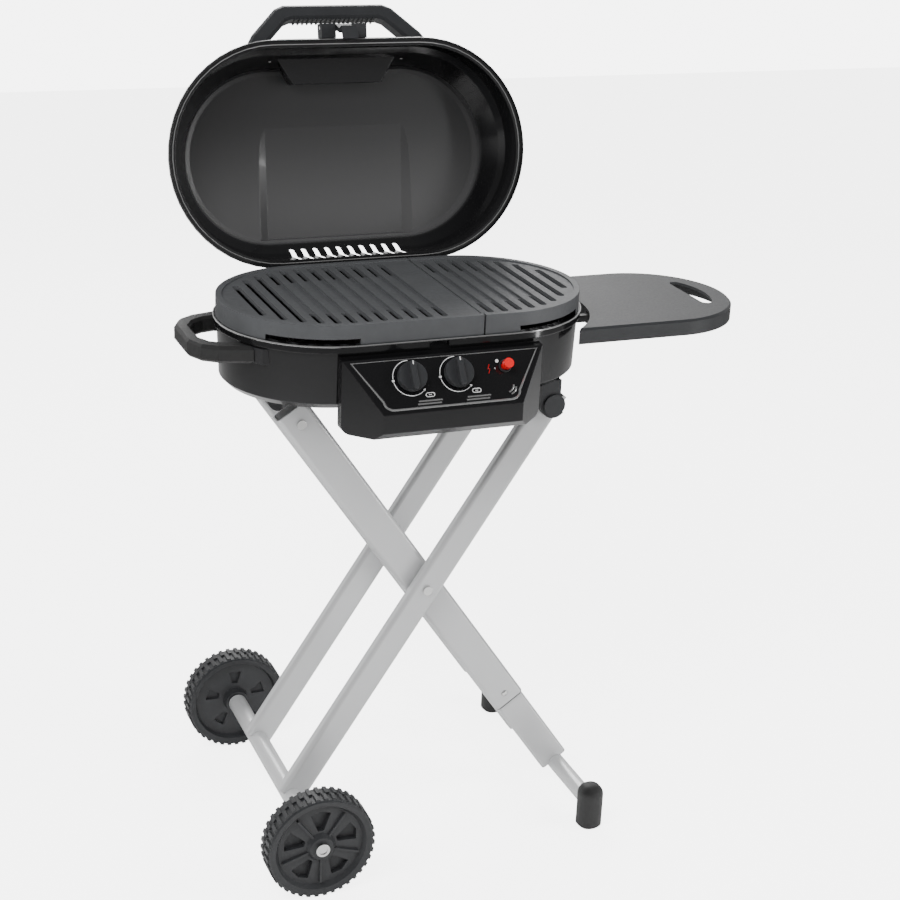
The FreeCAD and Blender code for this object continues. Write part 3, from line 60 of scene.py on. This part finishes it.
class Shader:
    """A node material with a Principled surface and short helpers for its detail."""

    def __init__(self, name, color, roughness, metallic=0.0, coat=0.0, coat_roughness=0.05, ior=1.5):
        self.material = bpy.data.materials.new(name)
        self.material.use_nodes = True
        self.material.diffuse_color = (*color, 1)
        self.tree = self.material.node_tree
        self.nodes = self.tree.nodes
        self.links = self.tree.links
        self.surface = self.nodes["Principled BSDF"]
        self.surface.inputs["Base Color"].default_value = (*color, 1)
        self.surface.inputs["Roughness"].default_value = roughness
        self.surface.inputs["Metallic"].default_value = metallic
        self.surface.inputs["IOR"].default_value = ior
        self.surface.inputs["Coat Weight"].default_value = coat
        self.surface.inputs["Coat Roughness"].default_value = coat_roughness
        self.color = color
        self.place = self.nodes.new("ShaderNodeTexCoord").outputs["Object"]
        self.height = None

    def noise(self, scale, detail=4, stretch=(1, 1, 1)):
        mapping = self.nodes.new("ShaderNodeMapping")
        mapping.inputs["Scale"].default_value = stretch
        self.links.new(self.place, mapping.inputs["Vector"])
        texture = self.nodes.new("ShaderNodeTexNoise")
        texture.inputs["Scale"].default_value = scale
        texture.inputs["Detail"].default_value = detail
        self.links.new(mapping.outputs["Vector"], texture.inputs["Vector"])
        return texture.outputs["Fac"]

    def along(self, direction, start, end):
        """Runs from 0 to 1 between two distances along a direction, on the piece at rest."""
        distance = self.nodes.new("ShaderNodeVectorMath")
        distance.operation = "DOT_PRODUCT"
        distance.inputs[1].default_value = direction
        self.links.new(self.place, distance.inputs[0])
        node = ramp(self.tree, distance.outputs["Value"], (start, end), (0, 1))
        node.interpolation_type = "SMOOTHSTEP"
        return node.outputs["Result"]

    def product(self, first, second):
        node = self.nodes.new("ShaderNodeMath")
        node.operation = "MULTIPLY"
        self.links.new(first, node.inputs[0])
        self.links.new(second, node.inputs[1])
        return node.outputs["Value"]

    def span(self, value, low, high):
        """Stretches a 0 to 1 value to run from low to high."""
        return ramp(self.tree, value, (0, 1), (low, high)).outputs["Result"]

    def vary_roughness(self, value, low, high):
        self.links.new(self.span(value, low, high), self.surface.inputs["Roughness"])

    def vary_color(self, value, other):
        mix = self.nodes.new("ShaderNodeMix")
        mix.data_type = "RGBA"
        mix.inputs["A"].default_value = (*self.color, 1)
        mix.inputs["B"].default_value = (*other, 1)
        self.links.new(value, mix.inputs["Factor"])
        self.links.new(mix.outputs["Result"], self.surface.inputs["Base Color"])

    def bump(self, value, distance, strength=1.0):
        node = self.nodes.new("ShaderNodeBump")
        node.inputs["Distance"].default_value = distance
        node.inputs["Strength"].default_value = strength
        self.links.new(value, node.inputs["Height"])
        if self.height:
            self.links.new(self.height, node.inputs["Normal"])
        self.height = node.outputs["Normal"]
        self.links.new(self.height, self.surface.inputs["Normal"])

    def round_edges(self, radius):
        """Softens sharp edges in the shading only."""
        node = self.nodes.new("ShaderNodeBevel")
        node.samples = 4
        node.inputs["Radius"].default_value = radius
        self.height = node.outputs["Normal"]
        self.links.new(self.height, self.surface.inputs["Normal"])


def gloss_enamel():
    shader = Shader("gloss_enamel", (0.004, 0.004, 0.0045), 0.14, coat=0.35, coat_roughness=0.05, ior=1.48)
    shader.round_edges(0.0026)
    speckle = shader.noise(90, 5)
    shader.vary_roughness(speckle, 0.12, 0.2)
    shader.vary_color(shader.noise(6, 3), (0.007, 0.007, 0.0075))
    shader.bump(shader.noise(26, 2), 0.0004, 0.25)
    return shader.material


def painted_glint_enamel():
    """The same black enamel on pressed beads and rolled edges, its colour lightened as a painted highlight.
    """
    # base colour 0.1 to 0.15 is a painted highlight; the real enamel on these beads is near black
    shader = Shader("painted_glint_enamel", (0.1, 0.1, 0.1), 0.16, coat=1.0, coat_roughness=0.06, ior=2.6)
    shader.vary_roughness(shader.noise(90, 4), 0.12, 0.22)
    shader.vary_color(shader.noise(30, 3), (0.15, 0.15, 0.15))
    return shader.material


CROWN_INSIDE = 0.075  # how far the open lid's crown lies beyond the origin, square to its mouth


def crown_enamel():
    """The lid's enamel, rougher on its crown than on its wall; the crown's colour is lightened as a painted
    sheen, most of all beside the hinge.
    """
    shader = Shader("crown_enamel", (0.006, 0.006, 0.0065), 0.3, coat=0.2, coat_roughness=0.12, ior=1.6)
    shader.round_edges(0.0026)
    crown = shader.along((0, 0.983, -0.182), CROWN_INSIDE - 0.009, CROWN_INSIDE)
    painted_sheen_lower = shader.along((0, 0, -1), -1.02, -0.83)
    shader.vary_roughness(shader.product(crown, shader.span(shader.noise(40, 5), 0.8, 1.0)), 0.16, 0.42)
    # painted sheen: the crown's colour is lightened, more the lower it lies toward the hinge
    shader.vary_color(shader.product(crown, shader.span(painted_sheen_lower, 0.15, 1.0)), (0.06, 0.06, 0.061))
    shader.bump(shader.noise(20, 2), 0.0004, 0.2)
    return shader.material


def satin_black():
    shader = Shader("satin_black", (0.013, 0.013, 0.014), 0.38)
    shader.round_edges(0.0006)
    shader.vary_roughness(shader.noise(200, 4), 0.32, 0.46)
    shader.bump(shader.noise(700, 2), 0.0001, 0.3)
    return shader.material


def grey_powder_coat():
    shader = Shader("grey_powder_coat", (0.58, 0.585, 0.59), 0.28, metallic=0.4, coat=0.2,
                    coat_roughness=0.15)
    shader.round_edges(0.0008)
    shader.vary_color(shader.noise(12, 4), (0.63, 0.635, 0.64))
    shader.vary_roughness(shader.noise(300, 4), 0.3, 0.44)
    shader.bump(shader.noise(1500, 2), 0.00008, 0.35)
    return shader.material


def plated_steel():
    shader = Shader("plated_steel", (0.55, 0.55, 0.54), 0.35, metallic=1.0)
    shader.vary_roughness(shader.noise(60, 5, (1, 1, 6)), 0.28, 0.48)
    shader.vary_color(shader.noise(25, 5), (0.4, 0.38, 0.35))
    return shader.material


def bright_steel():
    shader = Shader("bright_steel", (0.75, 0.75, 0.74), 0.22, metallic=1.0)
    shader.round_edges(0.0005)
    shader.vary_roughness(shader.noise(400, 4), 0.16, 0.32)
    return shader.material


def brass():
    shader = Shader("brass", (0.72, 0.5, 0.22), 0.28, metallic=1.0)
    shader.vary_roughness(shader.noise(250, 4, (8, 1, 1)), 0.22, 0.4)
    return shader.material


def coated_iron():
    shader = Shader("coated_iron", (0.056, 0.058, 0.061), 0.46)
    shader.round_edges(0.0012)
    shader.vary_color(shader.noise(35, 5), (0.076, 0.079, 0.083))
    shader.vary_roughness(shader.noise(160, 4), 0.42, 0.62)
    shader.bump(shader.noise(420, 3), 0.00025, 0.5)
    return shader.material


def grained_plastic():
    shader = Shader("grained_plastic", (0.020, 0.021, 0.0225), 0.44)
    shader.round_edges(0.0010)
    shader.vary_color(shader.noise(40, 4), (0.028, 0.029, 0.031))
    shader.vary_roughness(shader.noise(260, 4), 0.42, 0.58)
    shader.bump(shader.noise(1100, 2), 0.00012, 0.5)
    return shader.material


def red_plastic():
    shader = Shader("red_plastic", (0.72, 0.01, 0.012), 0.25, coat=0.4)
    shader.round_edges(0.0008)
    shader.vary_roughness(shader.noise(200, 3), 0.2, 0.32)
    return shader.material


def boot_rubber():
    shader = Shader("boot_rubber", (0.014, 0.014, 0.014), 0.55)
    shader.round_edges(0.0015)
    shader.vary_color(shader.noise(50, 4), (0.02, 0.02, 0.02))
    shader.vary_roughness(shader.noise(180, 4), 0.45, 0.62)
    shader.bump(shader.noise(600, 3), 0.0002, 0.5)
    return shader.material


def white_paint():
    shader = Shader("white_paint", (0.82, 0.82, 0.82), 0.4)
    shader.vary_color(shader.noise(400, 3), (0.74, 0.74, 0.74))
    return shader.material


MATERIALS = {
    "white_paint": white_paint(),
    "painted_glint_enamel": painted_glint_enamel(),
    "crown_enamel": crown_enamel(),
    "enamel_black": gloss_enamel(),
    "black_paint": satin_black(),
    "grey_paint": grey_powder_coat(),
    "plated_steel": plated_steel(),
    "bright_steel": bright_steel(),
    "brass": brass(),
    "cast_iron": coated_iron(),
    "black_plastic": grained_plastic(),
    "red_plastic": red_plastic(),
    "boot_rubber": boot_rubber(),
}
SLOT_OF = {row["node"]: row["material_slot"] for row in frame["record"]["subparts"]}
FINISH = {"lid_shell": "crown_enamel", "left_handle": "boot_rubber"}


def coat(obj, slot):
    obj.data.materials.clear()
    obj.data.materials.append(MATERIALS[slot])


def shade_by_angle(obj, degrees=30):
    """Smooth shading except across edges sharper than the angle."""
    mesh = obj.data
    mesh.polygons.foreach_set("use_smooth", [True] * len(mesh.polygons))
    mesh.set_sharp_from_angle(angle=math.radians(degrees))


for name, obj in frame["nodes"].items():
    coat(obj, FINISH.get(name, SLOT_OF[name]))
    shade_by_angle(obj)

# ------------------------------------------------------------------ places on the grill, in millimetres
MIDDLE = Vector((-0.10098, -0.047041, 0))
CONSOLE_TILT = math.radians(56)
LID_OPEN = math.radians(-100.5)
HINGE_BACK, HINGE_HEIGHT = 183, 787
KNOBS = (-52, 15)
KNOB_DROP = 30
BUTTON = 86
END_CENTRE = 113
RIM_RADIUS, RIM_HEIGHT = 154, 791.5
LID_FLANGE = 164.5
LEG_SLOPE = math.radians(55.05)
LEG_TOP = (-168, 657)
SNAP_PLACE, SNAP_INNER = 576.6, 66.5


def metres(point):
    """A place given from the middle of the bowl in millimetres, in the row frame."""
    return Vector(point) / 1000 + MIDDLE


def console(across, down, proud=0.0):
    """A place on the sloped console: right of the bowl's middle, down from its top edge, off its face."""
    y = -(167 + down * math.cos(CONSOLE_TILT)) - proud * math.sin(CONSOLE_TILT)
    return metres((across, y, 775 - down * math.sin(CONSOLE_TILT) + proud * math.cos(CONSOLE_TILT)))


def lid(across, y, depth):
    """A place on the open lid, given as it lies when closed: depth is above the lid's mouth."""
    back, up = y - HINGE_BACK, depth + 792 - HINGE_HEIGHT
    turned_y = back * math.cos(LID_OPEN) - up * math.sin(LID_OPEN)
    turned_z = back * math.sin(LID_OPEN) + up * math.cos(LID_OPEN)
    return metres((across, HINGE_BACK + turned_y, HINGE_HEIGHT + turned_z))


def lid_grip(across, along, thick):
    """A place in the lid handle's own leaning plane."""
    lean = math.radians(-23)
    return lid(across, -149 + along * math.cos(lean) - thick * math.sin(lean),
               46 + along * math.sin(lean) + thick * math.cos(lean))


def foot_leg(distance, across, back):
    """A place on a foot leg: down from its top pivot, across its wide face, and behind the middle."""
    x = LEG_TOP[0] + distance * math.cos(LEG_SLOPE) + across * math.sin(LEG_SLOPE)
    z = LEG_TOP[1] - distance * math.sin(LEG_SLOPE) + across * math.cos(LEG_SLOPE)
    return metres((x, back, z))


def rod(name, points, radius, slot, body, closed=False):
    """A round bead along a path."""
    curve = bpy.data.curves.new(name, "CURVE")
    curve.dimensions = "3D"
    curve.bevel_depth = radius / 1000
    curve.bevel_resolution = 3
    curve.use_fill_caps = True
    path = curve.splines.new("POLY")
    path.points.add(len(points) - 1)
    for spot, point in zip(path.points, points):
        spot.co = (*point, 1)
    path.use_cyclic_u = closed
    drawn = bpy.data.objects.new(name + "_path", curve)
    mesh = bpy.data.meshes.new_from_object(drawn)
    mesh.name = name
    return add(name, mesh, slot, body)


def add(name, mesh, slot, body):
    """Shows a mesh that rides on a body and takes a slot's material."""
    obj = bpy.data.objects.new(name, mesh)
    bpy.context.scene.collection.objects.link(obj)
    coat(obj, slot)
    shade_by_angle(obj)
    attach(obj, body)
    return obj


def turned(name, outline, place, axis, slot, body, steps=32):
    """A round piece from (radius, height) pairs, its foot at place and pointing along axis."""
    turn = Vector(axis).to_track_quat("Z", "Y")
    points, faces = [], []
    for radius, height in outline:
        for i in range(steps):
            angle = 2 * math.pi * i / steps
            spot = Vector((radius * math.cos(angle), radius * math.sin(angle), height)) / 1000
            points.append(Vector(place) + turn @ spot)
    top = (len(outline) - 1) * steps
    for low in range(0, top, steps):
        high = low + steps
        for i in range(steps):
            j = (i + 1) % steps
            faces.append((low + i, low + j, high + j, high + i))
    faces.append(tuple(range(steps))[::-1])
    faces.append(tuple(range(top, top + steps)))
    mesh = bpy.data.meshes.new(name)
    mesh.from_pydata(points, [], faces)
    return add(name, mesh, slot, body)


def arc(across, down, radius, start, end, proud=0.3, steps=24):
    """Points round a place on the console; angles in degrees from straight up, clockwise from the front."""
    points = []
    for i in range(steps + 1):
        angle = math.radians(start + (end - start) * i / steps)
        points.append(console(across + radius * math.sin(angle), down - radius * math.cos(angle), proud))
    return points


# ------------------------------------------------------------------ console markings and beads
OUT = Vector((0, -math.sin(CONSOLE_TILT), math.cos(CONSOLE_TILT)))
PRINT_RADIUS = 0.55
HEAT_ARC = 24.5
SIGN_ACROSS, SIGN_DOWN = 24, KNOB_DROP + 25
SPARK = ((1.5, -6), (-1.5, 0), (1.5, 0), (-1, 6))


def dot(name, outline, across, down):
    """A small white dot on the console: printed marks, and one painted highlight by the igniter."""
    turned(name, outline, console(across, down, 0), OUT, "white_paint", "firebox")


def sign_oval(across, half=3.4, radius=2.7):
    """The round-ended outline of the sign beside a knob."""
    points = []
    for side in (1, -1):
        for step in range(13):
            angle = math.radians(-90 + 15 * step)
            points.append(console(across + side * (half + radius * math.cos(angle)),
                                  SIGN_DOWN - side * radius * math.sin(angle), 0.3))
    return points


def console_marks():
    """Plain heat arcs round the knobs, an oval beside each, and a spark sign beside the igniter."""
    for i, knob in enumerate(KNOBS):
        for name, start, end in (("heat_arc", 0, -88), ("low_arc", -102, -226)):
            stretch = arc(knob, KNOB_DROP, HEAT_ARC, start, end)
            rod(f"{name}_{i}", stretch, PRINT_RADIUS, "white_paint", "firebox")
        dot(f"arc_dot_{i}", [(1.9, 0), (1.9, 0.5)], knob - HEAT_ARC, KNOB_DROP + 2)
        dot(f"arc_end_{i}", [(1.6, 0), (1.6, 0.5)], knob + 17, KNOB_DROP + 17.5)
        sign = knob + SIGN_ACROSS
        rod(f"burner_sign_{i}", sign_oval(sign), PRINT_RADIUS, "white_paint", "firebox", closed=True)
        bar = [console(sign - 2, SIGN_DOWN, 0.3), console(sign + 2, SIGN_DOWN, 0.3)]
        rod(f"burner_bar_{i}", bar, 0.5, "white_paint", "firebox")
    spark = [console(BUTTON - 24 + across, 27 + down, 0.3) for across, down in SPARK]
    rod("spark_sign", spark, PRINT_RADIUS, "red_plastic", "firebox")
    gap = [console(BUTTON - 15, 26, 0.3), console(BUTTON - 15, 28, 0.3)]
    rod("spark_gap", gap, 0.5, "white_paint", "firebox")
    # igniter_glint is a painted highlight: a white dot standing in for a glint near the igniter button
    dot("igniter_glint", [(2.4, 0), (2.4, 0.5), (1.6, 0.8)], BUTTON - 10.5, 17)


def bead_outline():
    """The console's raised border, a little inside its edges, with rounded lower corners."""
    left, right, taper = -131, 137, 40
    corners = []
    for edge, side in ((left, 1), (right, -1)):
        corner = []
        for i in range(7):
            angle = math.radians(90 * i / 6)
            across = edge + side * (taper + 10 - 14 * math.cos(angle))
            corner.append(console(across, 60 + 12 * math.sin(angle), 0.4))
        corners.append(corner)
    return [console(left, 4, 0.4), *corners[0], *reversed(corners[1]), console(right, 4, 0.4)]


def console_beads():
    """The border, and the short pairs of ridges pressed inside it."""
    # the border and ridges take the enamel whose colour carries a painted highlight
    rod("console_border", bead_outline(), 1.7, "painted_glint_enamel", "firebox", closed=True)
    for i, ends in enumerate(((-46, -12), (24, 58))):
        for line in range(2):
            ridge = [console(end - 2 * line, 63 + 4 * line, 0.3) for end in ends]
            rod(f"console_ridge_{i}_{line}", ridge, 1.3, "painted_glint_enamel", "firebox")
    for line in range(2):
        bend = arc(82 + 3 * line, 50 + 3 * line, 12, 100, 165, steps=10)
        rod(f"corner_ridge_{line}", bend, 1.3, "painted_glint_enamel", "firebox")


# ------------------------------------------------------------------ fittings
def screw(name, place, axis, radius, body):
    """A domed screw head with a small black disc in its middle, painted shade standing in for its recess."""
    head = [(radius, 0), (radius, 0.5), (radius * 0.8, 1.3), (radius * 0.35, 1.7)]
    turned(name, head, place, axis, "bright_steel", body, steps=20)
    # painted shade: a black disc on the head stands in for the shaded hollow
    recess = [(radius * 0.34, 0), (radius * 0.34, 0.2)]
    turned(name + "_slot", recess, Vector(place) + Vector(axis) * 0.00165, axis, "black_paint", body, steps=4)


GRIP_RIBS, RIB_SPACING = 18, 7.2


def fittings():
    """Screws and grip ribs on the lid, and the pointers on the knobs."""
    inward = (lid(0, 1, 0) - lid(0, 0, 0)).normalized()
    mouth = (lid(0, 0, 0) - lid(0, 0, 1)).normalized()
    for side in (-1, 1):
        for depth, y in ((58, -136), (70, -131)):
            screw(f"lid_screw_{side}_{depth}", lid(side * 104, y, depth), inward, 3.0, "lid")
        for across in (28, 62):
            screw(f"plate_screw_{side}_{across}", lid(side * across, -160, 22), mouth, 3.0, "lid")
    for i in range(GRIP_RIBS):
        across = -61 + RIB_SPACING * i
        rib = [lid_grip(across, -47.4, -9), lid_grip(across, -47.4, 9)]
        rod(f"grip_rib_{i}", rib, 1.6, "black_plastic", "lid")
    for knob, body in zip(KNOBS, ("left_knob", "right_knob")):
        pointer = [console(knob, KNOB_DROP - 18.2, 21.1), console(knob, KNOB_DROP - 13.5, 21.1)]
        rod(body + "_pointer", pointer, 0.7, "white_paint", body)


def stadium(radius, place, steps=24):
    """A round-ended loop about the grill's middle; place puts each (across, back) point."""
    points = []
    for side, start in ((1, 90), (-1, 270)):
        for i in range(steps + 1):
            angle = math.radians(start - 180 * i / steps)
            points.append(place(side * END_CENTRE + radius * math.cos(angle), radius * math.sin(angle)))
    return points


def rolled_edges():
    """The rolled edges of the bowl's rim and of the lid's mouth, bright from real gloss and a painted
    highlight in their colour.
    """
    rim = stadium(RIM_RADIUS, lambda x, y: metres((x, y, RIM_HEIGHT - 1.2)))
    rod("bowl_edge", rim, 1.3, "painted_glint_enamel", "firebox", closed=True)
    flange = stadium(LID_FLANGE, lambda x, y: lid(x, y, -0.6))
    rod("lid_edge", flange, 1.3, "painted_glint_enamel", "lid", closed=True)
    mouth = stadium(LID_FLANGE - 6, lambda x, y: lid(x, y, 0))
    rod("lid_mouth_edge", mouth, 0.9, "painted_glint_enamel", "lid", closed=True)


LEG_MIDDLE = 63.5
COLLAR_PLACE, COLLAR_CORNER = 594.6, 5


def leg_collars():
    """A thin black collar inside the end of each foot leg, round the sliding insert."""
    for name, middle in (("front", -LEG_MIDDLE), ("rear", LEG_MIDDLE)):
        ring = []
        for corner_x, corner_y, start in ((18, 6.5, 0), (-18, 6.5, 90), (-18, -6.5, 180), (18, -6.5, 270)):
            for step in range(5):
                angle = math.radians(start + 22.5 * step)
                across = corner_x + COLLAR_CORNER * math.cos(angle)
                back = middle + corner_y + COLLAR_CORNER * math.sin(angle)
                ring.append(foot_leg(COLLAR_PLACE, across, back))
        rod(name + "_leg_collar", ring, 1.3, "black_plastic", "foot_legs", closed=True)


def snap_buttons():
    """Domed buttons that hold the feet out; each rides on the feet, and the imported buttons are hidden."""
    dome = [(4.5, 0), (4.5, 9.6), (4.1, 10.3), (3.2, 10.8), (1.8, 11)]
    for name, side in (("front", -1), ("rear", 1)):
        inner_end = foot_leg(SNAP_PLACE, 0, side * SNAP_INNER)
        button = turned(name + "_snap_button", dome, inner_end, (0, side, 0), SLOT_OF["snap_buttons"], "feet")
        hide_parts("snap_buttons")
        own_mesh(button)


console_marks()
console_beads()
fittings()
snap_buttons()
rolled_edges()
leg_collars()

# ------------------------------------------------------------------ floor, light and camera
FLOOR_GLOW = 4.5
WALL_GLOW = 5.0


def seen_or_not(tree, seen, otherwise):
    """A value for what the camera sees directly, and another for reflections and bounced light."""
    is_seen = tree.nodes.new("ShaderNodeLightPath").outputs["Is Camera Ray"]
    return ramp(tree, is_seen, (0, 1), (otherwise, seen)).outputs["Result"]


def pale_floor():
    """White to the camera; in reflections it darkens away from the grill, which keeps the enamel black."""
    material = bpy.data.materials.new("pale_floor")
    material.use_nodes = True
    tree = material.node_tree
    surface = tree.nodes["Principled BSDF"]
    surface.inputs["Roughness"].default_value = 0.9
    surface.inputs["Specular IOR Level"].default_value = 0.0
    surface.inputs["Emission Color"].default_value = (1, 1, 1, 1)
    distance = tree.nodes.new("ShaderNodeVectorMath")
    distance.operation = "LENGTH"
    tree.links.new(tree.nodes.new("ShaderNodeTexCoord").outputs["Object"], distance.inputs[0])
    fade = ramp(tree, distance.outputs["Value"], (0.7, 2.6), (0.95, 0.25))
    choice = tree.nodes.new("ShaderNodeMix")
    choice.inputs["B"].default_value = 0.9
    tree.links.new(seen_or_not(tree, 1.0, 0.0), choice.inputs["Factor"])
    tree.links.new(fade.outputs["Result"], choice.inputs["A"])
    tree.links.new(choice.outputs["Result"], surface.inputs["Base Color"])
    tree.links.new(seen_or_not(tree, FLOOR_GLOW, 0.0), surface.inputs["Emission Strength"])
    return material


def room():
    """Walls that are bright behind the grill, and dim behind the camera and overhead."""
    world = bpy.data.worlds.new("studio")
    world.use_nodes = True
    tree = world.node_tree
    sides = tree.nodes.new("ShaderNodeSeparateXYZ")
    tree.links.new(tree.nodes.new("ShaderNodeTexCoord").outputs["Generated"], sides.inputs["Vector"])
    height = ramp(tree, sides.outputs["Z"], (0.0, 0.3), (0.6, 0.12))
    depth = ramp(tree, sides.outputs["Y"], (-0.1, 0.8), (0.0, 1.1))
    tree.links.new(height.outputs["Result"], depth.inputs["To Min"])
    total = tree.nodes.new("ShaderNodeMath")
    total.operation = "ADD"
    tree.links.new(depth.outputs["Result"], total.inputs[0])
    tree.links.new(seen_or_not(tree, WALL_GLOW, 0.0), total.inputs[1])
    background = tree.nodes["Background"]
    tree.links.new(total.outputs["Value"], background.inputs["Strength"])
    background.inputs["Color"].default_value = (1, 1, 1, 1)
    bpy.context.scene.world = world


def studio():
    """A pale floor in a bright room."""
    bpy.ops.mesh.primitive_plane_add(size=12, location=(0, 0, -0.0005))
    floor = bpy.context.object
    floor.name = "floor"
    floor.data.materials.append(pale_floor())
    room()


def softbox(name, place, aim, width, height, power, mirrored=True):
    """A soft light; one that isn't mirrored makes no white patch in the enamel."""
    light = bpy.data.lights.new(name, "AREA")
    light.shape = "RECTANGLE"
    light.size = width
    light.size_y = height
    light.energy = power
    obj = bpy.data.objects.new(name, light)
    bpy.context.scene.collection.objects.link(obj)
    obj.location = place
    obj.rotation_euler = (Vector(aim) - Vector(place)).to_track_quat("-Z", "Y").to_euler()
    obj.visible_glossy = mirrored


def camera():
    """In front of the grill, to its left and above it."""
    yaw, pitch, roll = -0.3949, -0.3679, 0.0428
    level = Vector((-math.sin(yaw), math.cos(yaw), 0))
    forward = level * math.cos(pitch) + Vector((0, 0, math.sin(pitch)))
    right = Vector((math.cos(yaw), math.sin(yaw), 0))
    up = right.cross(forward)
    across = right * math.cos(roll) + up * math.sin(roll)
    upward = up * math.cos(roll) - right * math.sin(roll)
    data = bpy.data.cameras.new("camera")
    data.lens = 73.2
    data.sensor_width = 36
    obj = bpy.data.objects.new("camera", data)
    bpy.context.scene.collection.objects.link(obj)
    turn = Matrix((across, upward, -forward)).transposed().to_4x4()
    obj.matrix_world = Matrix.Translation(Vector((-0.8861, -2.3327, 1.5385)) + MIDDLE) @ turn
    bpy.context.scene.camera = obj


studio()
softbox("key_light", (-1.6, -1.6, 2.8), (0, 0, 0.6), 1.6, 1.2, 95, mirrored=False)
softbox("fill_light", (2.2, -1.6, 1.8), (0, 0, 0.6), 1.0, 1.6, 40, mirrored=False)
softbox("rim_light", (0.4, 2.4, 2.4), (0, 0, 0.9), 2.0, 1.0, 50)
softbox("left_strip", (-2.3, -0.9, 1.5), (0, 0, 0.75), 0.22, 1.0, 14, mirrored=False)
softbox("right_strip", (1.9, -1.7, 0.9), (0, 0, 0.7), 0.18, 1.8, 16)
camera()
